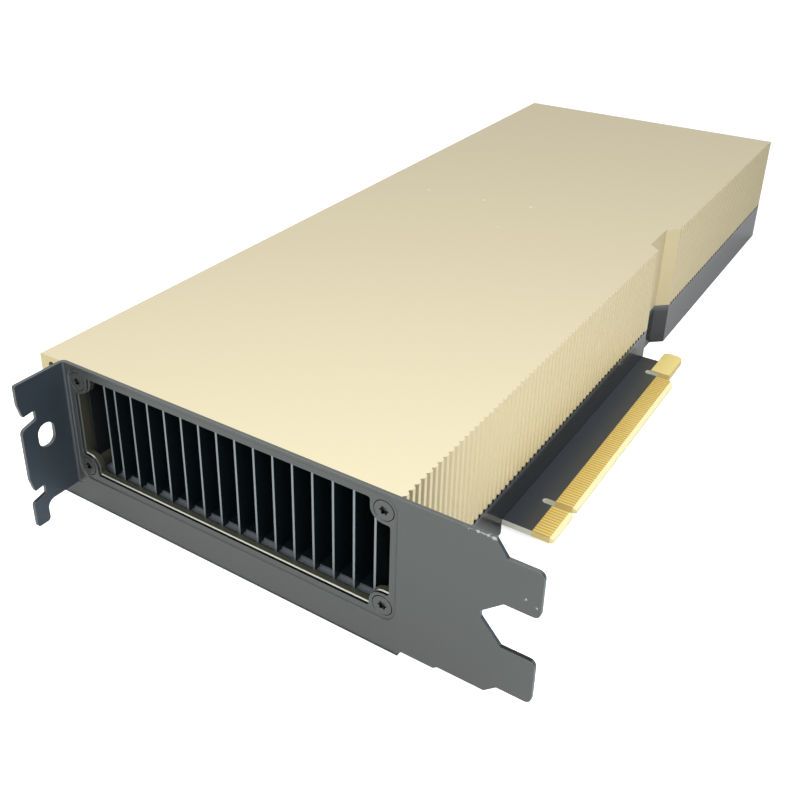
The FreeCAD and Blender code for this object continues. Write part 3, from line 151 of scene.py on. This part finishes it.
# small bright spots with ragged outlines: marks are (place in mm, radius in mm)
def addMarks(tree, coat, colour, marks):
    where = addNode(tree, "ShaderNodeTexCoord")
    noise = addNode(tree, "ShaderNodeTexNoise", None,
                    {"Scale": 1 / (ragged["size"] * mm), "Detail": ragged["detail"]},
                    {"Vector": (where, "Object")})
    shift = addNode(tree, "ShaderNodeMath", {"operation": "MULTIPLY_ADD"},
                    {1: ragged["swing"] * mm, 2: ragged["shift"] * mm}, {0: (noise, "Fac")})
    mask = None
    for place, radius in marks:
        away = addNode(tree, "ShaderNodeVectorMath", {"operation": "DISTANCE"},
                       {1: Vector(place) * mm}, {0: (where, "Object")})
        away = addNode(tree, "ShaderNodeMath", {"operation": "ADD"}, None,
                       {0: (away, "Value"), 1: (shift, "Value")})
        spot = stretch(tree, (away, "Value"), (radius * mm, radius * ragged["core"] * mm))
        if mask is None:
            mask = (spot, "Result")
        else:
            wider = addNode(tree, "ShaderNodeMath", {"operation": "MAXIMUM"}, None,
                            {0: mask, 1: (spot, "Result")})
            mask = (wider, "Value")
    return blendColours(tree, coat, colour, mask)


def paint(tree, shader, coat):
    tree.links.new(coat.outputs["Result"], shader.inputs["Base Color"])


def dress(node, material):
    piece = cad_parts[node]
    piece.data.materials.clear()
    piece.data.materials.append(material)
    return piece


# ------ cover
coverFinish = {
    "colour": "#E4D6B2",      # champagne anodising over a fine bead blast: pale, warm, matt
    "front": "#CDBE92",       # the milled front faces, a little deeper
    "frontCosines": (0.55, 0.95),
    "groove": "#8F8058",      # painted shade at the bottom of the flutes
    "grooveReach": 1.2,       # mm
    "grooveFree": (0.55, 0.2),
    "metallic": 1.0,
    "roughness": 0.32,        # roof
    "sideRoughness": 0.5,
    "roofCosines": (0.3, 0.9),
    "edge": 0.15,
    "grainSize": 0.35,        # blast grain is about 0.1 mm; drawn coarser so that it shows
    "grainHeight": 0.004,
    "nick": "#FBF6E4",
    "nicks": (((20.0, 45.1, 38.4), 0.7), ((21.9, 25.8, 38.4), 0.7),
              ((24.7, 10.6, 38.4), 0.75), ((3.6, 11.5, 38.4), 0.5)),
}
anodised, coverTree, coverShader = startMaterial("beadBlastedChampagneAluminium", {
    "Metallic": coverFinish["metallic"],
})
addGrain(coverTree, coverShader, coverFinish)
coverCoat = tintFacing(coverTree, coverFinish["colour"], coverFinish["front"],
                       (-1, 0, 0), coverFinish["frontCosines"])
coverCoat = darkenCorners(coverTree, coverCoat, coverFinish["groove"],
                          coverFinish["grooveReach"], coverFinish["grooveFree"])
paint(coverTree, coverShader,
      addMarks(coverTree, coverCoat, coverFinish["nick"], coverFinish["nicks"]))
coverGloss = stretch(coverTree, (splitNormal(coverTree), "Z"), coverFinish["roofCosines"],
                     coverFinish["sideRoughness"], coverFinish["roughness"])
coverTree.links.new(coverGloss.outputs["Result"], coverShader.inputs["Roughness"])
dress("cover", anodised)
print("cover dressed")

# ------ bracket
bracketFinish = {
    "colour": "#595B57",      # black oxide gone grey under a thin lacquer: dark grey, satin
    "shadedSide": "#465059",        # painted shade: the same coat darker and bluer on faces turned to -y, such as the tab in its own shade
    "shadedSideCosines": (0.3, 0.95),
    "wornAndLit": "#A5A7A2",        # bright steel where the coat is rubbed off the edges, and a painted highlight along them
    "wornAndLitGain": 2.2,
    # painted shade: near black in corners and gaps, and on the window sill
    "gap": "#0E0F0F",
    "gapReach": 0.7,
    "gapFree": (0.95, 0.6),
    "sillTop": 20.0,          # mm, upward edges lower than this are painted dark, as shade on the window sill
    "sillCosines": (0.8, 0.95),
    "metallic": 0.5,
    "roughness": 0.36,
    "ior": 1.5,
    "edge": 0.12,
    "grainSize": 0.5,
    "grainHeight": 0.002,
    "scuff": "#B4B6B0",
    "scuffs": (((-127.1, -53.8, 39.3), 0.6), ((-127.0, -52.6, 39.4), 0.5),
               ((-127.1, -51.7, 39.4), 0.4), ((-127.0, -50.6, 39.4), 0.45),
               ((-127.1, -48.9, 39.4), 0.4), ((-127.1, -47.7, 39.4), 0.35),
               ((-127.1, -60.7, 29.0), 0.35), ((-127.1, -62.8, 28.1), 0.3),
               ((-127.1, -61.6, 16.1), 0.3), ((-127.1, -56.9, 4.8), 0.4)),
}
lacquered, bracketTree, bracketShader = startMaterial("satinLacqueredSteel", {
    "Metallic": bracketFinish["metallic"],
    "Roughness": bracketFinish["roughness"],
    "IOR": bracketFinish["ior"],
})
addGrain(bracketTree, bracketShader, bracketFinish)
bracketCoat = tintFacing(bracketTree, bracketFinish["colour"], bracketFinish["shadedSide"],
                         (0, -1, 0), bracketFinish["shadedSideCosines"])
bracketCoat = lightenEdges(bracketTree, bracketCoat, bracketFinish["wornAndLit"],
                        bracketFinish["edge"], bracketFinish["wornAndLitGain"])
bracketCoat = tintFacing(bracketTree, bracketCoat, bracketFinish["gap"], (0, 0, 1),
                         bracketFinish["sillCosines"], bracketFinish["sillTop"])
bracketCoat = darkenCorners(bracketTree, bracketCoat, bracketFinish["gap"],
                            bracketFinish["gapReach"], bracketFinish["gapFree"])
paint(bracketTree, bracketShader,
      addMarks(bracketTree, bracketCoat, bracketFinish["scuff"], bracketFinish["scuffs"]))
dress("bracket", lacquered)

screwFinish = {
    "colour": "#5A5B57",
    # lightened edges: wear, and a painted highlight along them
    "wornAndLit": "#A4A6A1",
    "wornAndLitRadius": 0.1,
    "wornAndLitGain": 2.0,
    # painted shade: near black in the socket and the other hollows of the head
    "socket": "#050505",
    "socketReach": 0.9,
    "socketFree": (0.8, 0.45),
    "metallic": 0.5,
    "roughness": 0.34,
    "edge": 0.08,
    "grainSize": 0.4,
    "grainHeight": 0.001,
}
oxide, screwTree, screwShader = startMaterial("blackOxideSteel", {
    "Metallic": screwFinish["metallic"],
    "Roughness": screwFinish["roughness"],
})
addGrain(screwTree, screwShader, screwFinish)
screwCoat = lightenEdges(screwTree, screwFinish["colour"], screwFinish["wornAndLit"],
                      screwFinish["wornAndLitRadius"], screwFinish["wornAndLitGain"])
paint(screwTree, screwShader,
      darkenCorners(screwTree, screwCoat, screwFinish["socket"],
                    screwFinish["socketReach"], screwFinish["socketFree"]))
for node in ("bracket_screws", "case_screws"):
    dress(node, oxide)
print("bracket dressed")

# ------ frame and back
frameFinish = {
    "colour": "#17191A",      # black powder coat: black head on, a grey mirror at a low angle
    # lightened edges: wear, and a painted highlight along them
    "wornAndLit": "#3A3C3B",
    "wornAndLitGain": 1.2,
    # painted shade: upward faces near black, standing in for the shade at the open lower ends of
    # the flutes
    "top": "#040403",
    "topCosines": (0.8, 0.95),
    "greyBand": "#54565A",       # the coat is greyer in a band under the seam
    "greyBandFrom": 10.8,         # mm over the base
    "greyBandTo": 12.6,
    "roughness": 0.17,
    "ior": 1.75,
    "edge": 0.15,
    "grainSize": 0.5,
    "grainHeight": 0.002,
}
blackened, frameTree, frameShader = startMaterial("blackPowderCoatedCasting", {
    "Roughness": frameFinish["roughness"],
    "IOR": frameFinish["ior"],
})
addGrain(frameTree, frameShader, frameFinish)
greyBandShare = stretch(frameTree, (splitPlace(frameTree), "Z"),
               (frameFinish["greyBandFrom"] * mm, frameFinish["greyBandTo"] * mm))
frameCoat = blendColours(frameTree, frameFinish["colour"], frameFinish["greyBand"],
                         (greyBandShare, "Result"))
frameCoat = lightenEdges(frameTree, frameCoat, frameFinish["wornAndLit"], frameFinish["edge"],
                      frameFinish["wornAndLitGain"])
paint(frameTree, frameShader,
      tintFacing(frameTree, frameCoat, frameFinish["top"], (0, 0, 1), frameFinish["topCosines"]))
for node in ("frame", "back_plate"):
    dress(node, blackened)

ventFinish = {
    "colour": "#4E4E42",      # the same coat over bare casting: olive grey inside the window
    # lightened edges: wear, and a painted highlight along them
    "wornAndLit": "#D5D4CC",
    "wornAndLitRadius": 0.15,
    "wornAndLitGain": 1.5,
    "rim": "#C6C4B6",         # machined chamfer along the lower rim, with a painted highlight: faces turned forward and up are painted bright
    "rimFacing": (-0.7, 0, 0.7),
    "rimCosines": (0.9, 0.97),
    # painted shade: near black in corners and gaps
    "gap": "#0B0B0A",
    "gapReach": 0.8,
    "gapFree": (0.7, 0.35),
    "metallic": 0.35,
    "roughness": 0.33,
    "edge": 0.1,
    "grainSize": 0.5,
    "grainHeight": 0.002,
}
olive, ventTree, ventShader = startMaterial("oliveBlackCasting", {
    "Metallic": ventFinish["metallic"],
    "Roughness": ventFinish["roughness"],
})
addGrain(ventTree, ventShader, ventFinish)
ventCoat = lightenEdges(ventTree, ventFinish["colour"], ventFinish["wornAndLit"],
                     ventFinish["wornAndLitRadius"], ventFinish["wornAndLitGain"])
ventCoat = darkenCorners(ventTree, ventCoat, ventFinish["gap"], ventFinish["gapReach"],
                         ventFinish["gapFree"])
paint(ventTree, ventShader,
      tintFacing(ventTree, ventCoat, ventFinish["rim"], ventFinish["rimFacing"],
                 ventFinish["rimCosines"]))
dress("vent_frame", olive)

# painted shadow: thin dark triangles set just proud of the frame wall under the seam, standing
# in for the shade at the lower ends of the flutes
fluteShadows = {
    "colour": "#0A0A09",
    "roughness": 0.7,
    "specular": 0.1,
    "wall": -34.6,            # mm, face of the fluted side
    "proud": 0.02,
    "depth": 0.15,
    "top": 13.0,              # seam over the base
    "tall": 0.85,
    "half": 0.62,
    "pitch": 2.155,
    "rows": ((-125.05, 64), (35.5, 49)),     # first flute and number of flutes
}
shadowMesh = bpy.data.meshes.new("fluteShadowPatches")
shadowBmesh = bmesh.new()
for first, count in fluteShadows["rows"]:
    for i in range(count):
        middle = first + i * fluteShadows["pitch"]
        outline = ((middle - fluteShadows["half"], fluteShadows["top"]),
                   (middle, fluteShadows["top"] - fluteShadows["tall"]),
                   (middle + fluteShadows["half"], fluteShadows["top"]))
        front = [shadowBmesh.verts.new(Vector((x, fluteShadows["wall"] - fluteShadows["proud"], z)) * mm)
                 for x, z in outline]
        back = [shadowBmesh.verts.new(Vector((x, fluteShadows["wall"] + fluteShadows["depth"], z)) * mm)
                for x, z in outline]
        shadowBmesh.faces.new(front)
        shadowBmesh.faces.new(back[::-1])
        for j in range(3):
            k = (j + 1) % 3
            shadowBmesh.faces.new((front[k], front[j], back[j], back[k]))
bmesh.ops.recalc_face_normals(shadowBmesh, faces=shadowBmesh.faces)
shadowBmesh.to_mesh(shadowMesh)
shadowBmesh.free()
shadowPiece = bpy.data.objects.new("fluteShadowPatches", shadowMesh)
scene.collection.objects.link(shadowPiece)
shadowBlack = startMaterial("paintedShadowBlack", {
    "Base Color": hexColour(fluteShadows["colour"]),
    "Roughness": fluteShadows["roughness"],
    "Specular IOR Level": fluteShadows["specular"],
})[0]
shadowMesh.materials.append(shadowBlack)
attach(shadowPiece, "root")
print("frame dressed")

# ------ heat sink
finFinish = {
    "colour": "#182226",      # painted shade: the sheet painted dark and cold, as it looks deep in the channels
    "edge": "#8B9293",        # cut edges at both ends
    "edgeCosines": (0.8, 0.95),
    "base": "#A3ADB5",
    "metallic": 0.5,
    "roughness": 0.4,
}
finMetal, finTree, finShader = startMaterial("rolledAluminiumSheet", {
    "Metallic": finFinish["metallic"],
    "Roughness": finFinish["roughness"],
})
finCoat = finFinish["colour"]
for end in ((-1, 0, 0), (1, 0, 0)):
    finCoat = tintFacing(finTree, finCoat, finFinish["edge"], end, finFinish["edgeCosines"])
paint(finTree, finShader, finCoat)
dress("fin_stack", finMetal)

baseMetal = startMaterial("milledAluminium", {
    "Base Color": hexColour(finFinish["base"]),
    "Metallic": finFinish["metallic"],
    "Roughness": finFinish["roughness"],
})[0]
dress("heatsink_base", baseMetal)
print("heat sink dressed")

# ------ board
boardFinish = {
    "mask": "#2A2F34",        # dark slate solder mask: thin glossy lacquer
    "core": "#CFCDBD",        # sawn glass-epoxy edge: pale and matt
    "contactCore": "#D6BD78", # the same edge beside the contacts, yellowed by them
    "bare": "#A58C48",        # laminate between the contacts: thin, takes their colour
    "bevel": "#EADFA8",       # ground bevel with the cut ends of the contacts
    "roughness": 0.32,
    "ior": 1.5,
    "fromEdge": -47.5,        # mm, free edge of the contacts
    "maskEdge": 5.45,         # mm from that edge
    "bevelEdge": 1.1,
    "faceCosine": 0.6,        # faces closer to level than this are faces, the others edges
}
solderMask, boardTree, boardShader = startMaterial("slateSolderMaskBoard", {
    "Roughness": boardFinish["roughness"],
    "IOR": boardFinish["ior"],
})
flatness = addNode(boardTree, "ShaderNodeMath", {"operation": "ABSOLUTE"}, None,
                   {0: (splitNormal(boardTree), "Z")})
isFace = addNode(boardTree, "ShaderNodeMath", {"operation": "GREATER_THAN"},
                 {1: boardFinish["faceCosine"]}, {0: (flatness, "Value")})
boardPlace = splitPlace(boardTree)
pastMask, onBevel = [
    addNode(boardTree, "ShaderNodeMath", {"operation": "LESS_THAN"},
            {1: (boardFinish["fromEdge"] + boardFinish[limit]) * mm}, {0: (boardPlace, "Y")})
    for limit in ("maskEdge", "bevelEdge")]
maskOrBare = blendColours(boardTree, boardFinish["mask"], boardFinish["bare"],
                          (pastMask, "Value"))
paleOrYellow = blendColours(boardTree, boardFinish["core"], boardFinish["contactCore"],
                            (pastMask, "Value"))
edgeOrFace = blendColours(boardTree, paleOrYellow, maskOrBare, (isFace, "Value"))
paint(boardTree, boardShader,
      blendColours(boardTree, edgeOrFace, boardFinish["bevel"], (onBevel, "Value")))
dress("circuit_board", solderMask)

goldFinish = {
    "colour": "#F4DA8A",
    "metallic": 1.0,
    "flash": "#FAEAA0",       # thin plating of the hook
    "flashMetallic": 0.7,
    "roughness": 0.3,
}
hardGold = startMaterial("hardGoldPlating", {
    "Base Color": hexColour(goldFinish["colour"]),
    "Metallic": goldFinish["metallic"],
    "Roughness": goldFinish["roughness"],
})[0]
for node in ("edge_contacts_front", "edge_contacts_back"):
    dress(node, hardGold)
flashGold = startMaterial("flashGoldPlating", {
    "Base Color": hexColour(goldFinish["flash"]),
    "Metallic": goldFinish["flashMetallic"],
    "Roughness": goldFinish["roughness"],
})[0]
dress("hook_plating", flashGold)
print("board dressed")

# ------ parts inside and behind: material, colour, metallic, roughness, slot
plainFinishes = {
    "insulating_film": ("blackPolyesterFilm", "#161616", 0.0, 0.45, "film"),
    "air_baffle": ("blackPolycarbonateSheet", "#121416", 0.0, 0.5, "film"),
    "processor_substrate": ("greenLaminate", "#2C5A38", 0.0, 0.5, "package_green"),
    "package_stiffener": ("nickelPlatedSteel", "#C9C7C0", 1.0, 0.3, "nickel_steel"),
    "processor_die": ("polishedSilicon", "#4A4C55", 0.6, 0.12, "silicon"),
    "memory_stacks": ("polishedSiliconStacks", "#3C3E46", 0.6, 0.15, "silicon"),
    "thermal_compound": ("thermalPaste", "#A9AAAE", 0.0, 0.6, "compound"),
    "power_chokes": ("mouldedIronPowder", "#3A3A3C", 0.1, 0.55, "choke_grey"),
    "power_stages": ("mouldedEpoxy", "#151515", 0.0, 0.5, "package_black"),
    "thermal_pads": ("siliconePad", "#8E939E", 0.0, 0.8, "pad_grey"),
    "polymer_capacitors": ("drawnAluminiumCan", "#D5D6D8", 1.0, 0.3, "can_aluminium"),
    "support_chips": ("mouldedEpoxyPackages", "#161616", 0.0, 0.5, "package_black"),
    "spring_brace": ("zincPlatedSpringSteel", "#9A9C9C", 1.0, 0.35, "spring_steel"),
    "brace_screws": ("zincPlatedScrews", "#A4A6A6", 1.0, 0.3, "spring_steel"),
    "brace_washers": ("zincPlatedWashers", "#A4A6A6", 1.0, 0.3, "spring_steel"),
    "power_socket": ("blackNylon", "#141414", 0.0, 0.5, "socket_black"),
    "power_socket_pins": ("tinPlatedBrass", "#D8D6CE", 1.0, 0.3, "tin_plate"),
}
for node, (name, colour, metallic, roughness, slotName) in plainFinishes.items():
    plain = startMaterial(name, {
        "Base Color": hexColour(colour),
        "Metallic": metallic,
        "Roughness": roughness,
    })[0]
    dress(node, plain)
print("inner parts dressed")

# ------ floor, light and camera
studio = {
    "floorSize": 6.0,
    "floorGap": 0.05,         # mm under the base, so that the two faces stay apart
    "floorWhite": 0.92,       # painted light: brightest under the bracket, falling off towards the far end as under a lamp at the front
    "floorFar": 0.35,
    "floorFall": (-0.15, 0.30),      # m along the card
    "floorRoughness": 0.9,
    "floorGlow": 0.75,        # for the camera only: lifts the floor to white, keeps the shadow
    "skyHorizon": 0.05,
    "skyFootAt": 0.08,        # sine of the height where the sky starts to brighten
    "skyTop": 1.42,
    "skyLowColour": (1.0, 0.96, 0.94, 1),
    "skyHighColour": (1.0, 1.05, 1.10, 1),
    "skyTopAt": 0.62,         # sine of the height from which the sky stays as bright as overhead
}
floorMesh = bpy.data.meshes.new("studioFloor")
grid = bmesh.new()
bmesh.ops.create_grid(grid, x_segments=1, y_segments=1, size=studio["floorSize"] / 2)
grid.to_mesh(floorMesh)
grid.free()
floor = bpy.data.objects.new("studioFloor", floorMesh)
floor.location.z = -studio["floorGap"] * mm
scene.collection.objects.link(floor)
paper, paperTree, paperShader = startMaterial("matWhitePaper", {
    "Roughness": studio["floorRoughness"],
    "Specular IOR Level": 0.0,
    "Emission Color": white,
})
paintedFalloff = stretch(paperTree, (splitPlace(paperTree), "X"), studio["floorFall"],
                  studio["floorWhite"], studio["floorFar"],
                  {"interpolation_type": "SMOOTHSTEP"})
paperTree.links.new(paintedFalloff.outputs["Result"], paperShader.inputs["Base Color"])
ray = addNode(paperTree, "ShaderNodeLightPath")
glow = addNode(paperTree, "ShaderNodeMath", {"operation": "MULTIPLY"},
               {1: studio["floorGlow"]}, {0: (ray, "Is Camera Ray")})
paperTree.links.new(glow.outputs["Value"], paperShader.inputs["Emission Strength"])
floorMesh.materials.append(paper)

world = bpy.data.worlds.new("studioSky")
scene.world = world
world.use_nodes = True
sky = world.node_tree
background = sky.nodes["Background"]
skyRay = addNode(sky, "ShaderNodeLightPath")
direction = addNode(sky, "ShaderNodeTexCoord")
heading = addNode(sky, "ShaderNodeSeparateXYZ", None, None, {"Vector": (direction, "Generated")})
skySpan = (studio["skyFootAt"], studio["skyTopAt"])
rise = stretch(sky, (heading, "Z"), skySpan, studio["skyHorizon"], studio["skyTop"])
climb = stretch(sky, (heading, "Z"), skySpan)
hue = addNode(sky, "ShaderNodeMix", {"data_type": "RGBA"},
              {"A": studio["skyLowColour"], "B": studio["skyHighColour"]},
              {"Factor": (climb, "Result")})
cameraWhite = addNode(sky, "ShaderNodeMix", {"data_type": "RGBA"}, {"B": white},
                      {"Factor": (skyRay, "Is Camera Ray"), "A": (hue, "Result")})
sky.links.new(cameraWhite.outputs["Result"], background.inputs["Color"])
whiteForCamera = addNode(sky, "ShaderNodeMath", {"operation": "MAXIMUM"}, None,
                         {0: (skyRay, "Is Camera Ray"), 1: (rise, "Result")})
sky.links.new(whiteForCamera.outputs["Value"], background.inputs["Strength"])

lamps = {
    "frontPanel": {"at": (-0.52, -0.18, 0.48), "size": 0.4, "power": 1.5},
}
for name, lamp in lamps.items():
    data = bpy.data.lights.new(name, "AREA")
    data.shape = "SQUARE"
    data.size = lamp["size"]
    data.energy = lamp["power"]
    light = bpy.data.objects.new(name, data)
    light.location = lamp["at"]
    light.rotation_euler = Vector(lamp["at"]).to_track_quat("Z", "Y").to_euler()
    scene.collection.objects.link(light)

view = {
    "place": (-252.8, -109.5, 151.0),       # mm from the middle of the base
    "turn": (62.93, -0.26, -56.04),         # degrees
    "lens": 44.56,
    "shift": (0.0526, -0.1072),
    "clip": 0.01,                           # m
}
camera = bpy.data.objects.new("camera", bpy.data.cameras.new("camera"))
camera.location = Vector(view["place"]) * mm
camera.rotation_euler = [math.radians(a) for a in view["turn"]]
camera.data.lens = view["lens"]
camera.data.shift_x, camera.data.shift_y = view["shift"]
camera.data.clip_start = view["clip"]
scene.collection.objects.link(camera)
scene.camera = camera
scene.view_settings.view_transform = "Standard"
print("stage set")
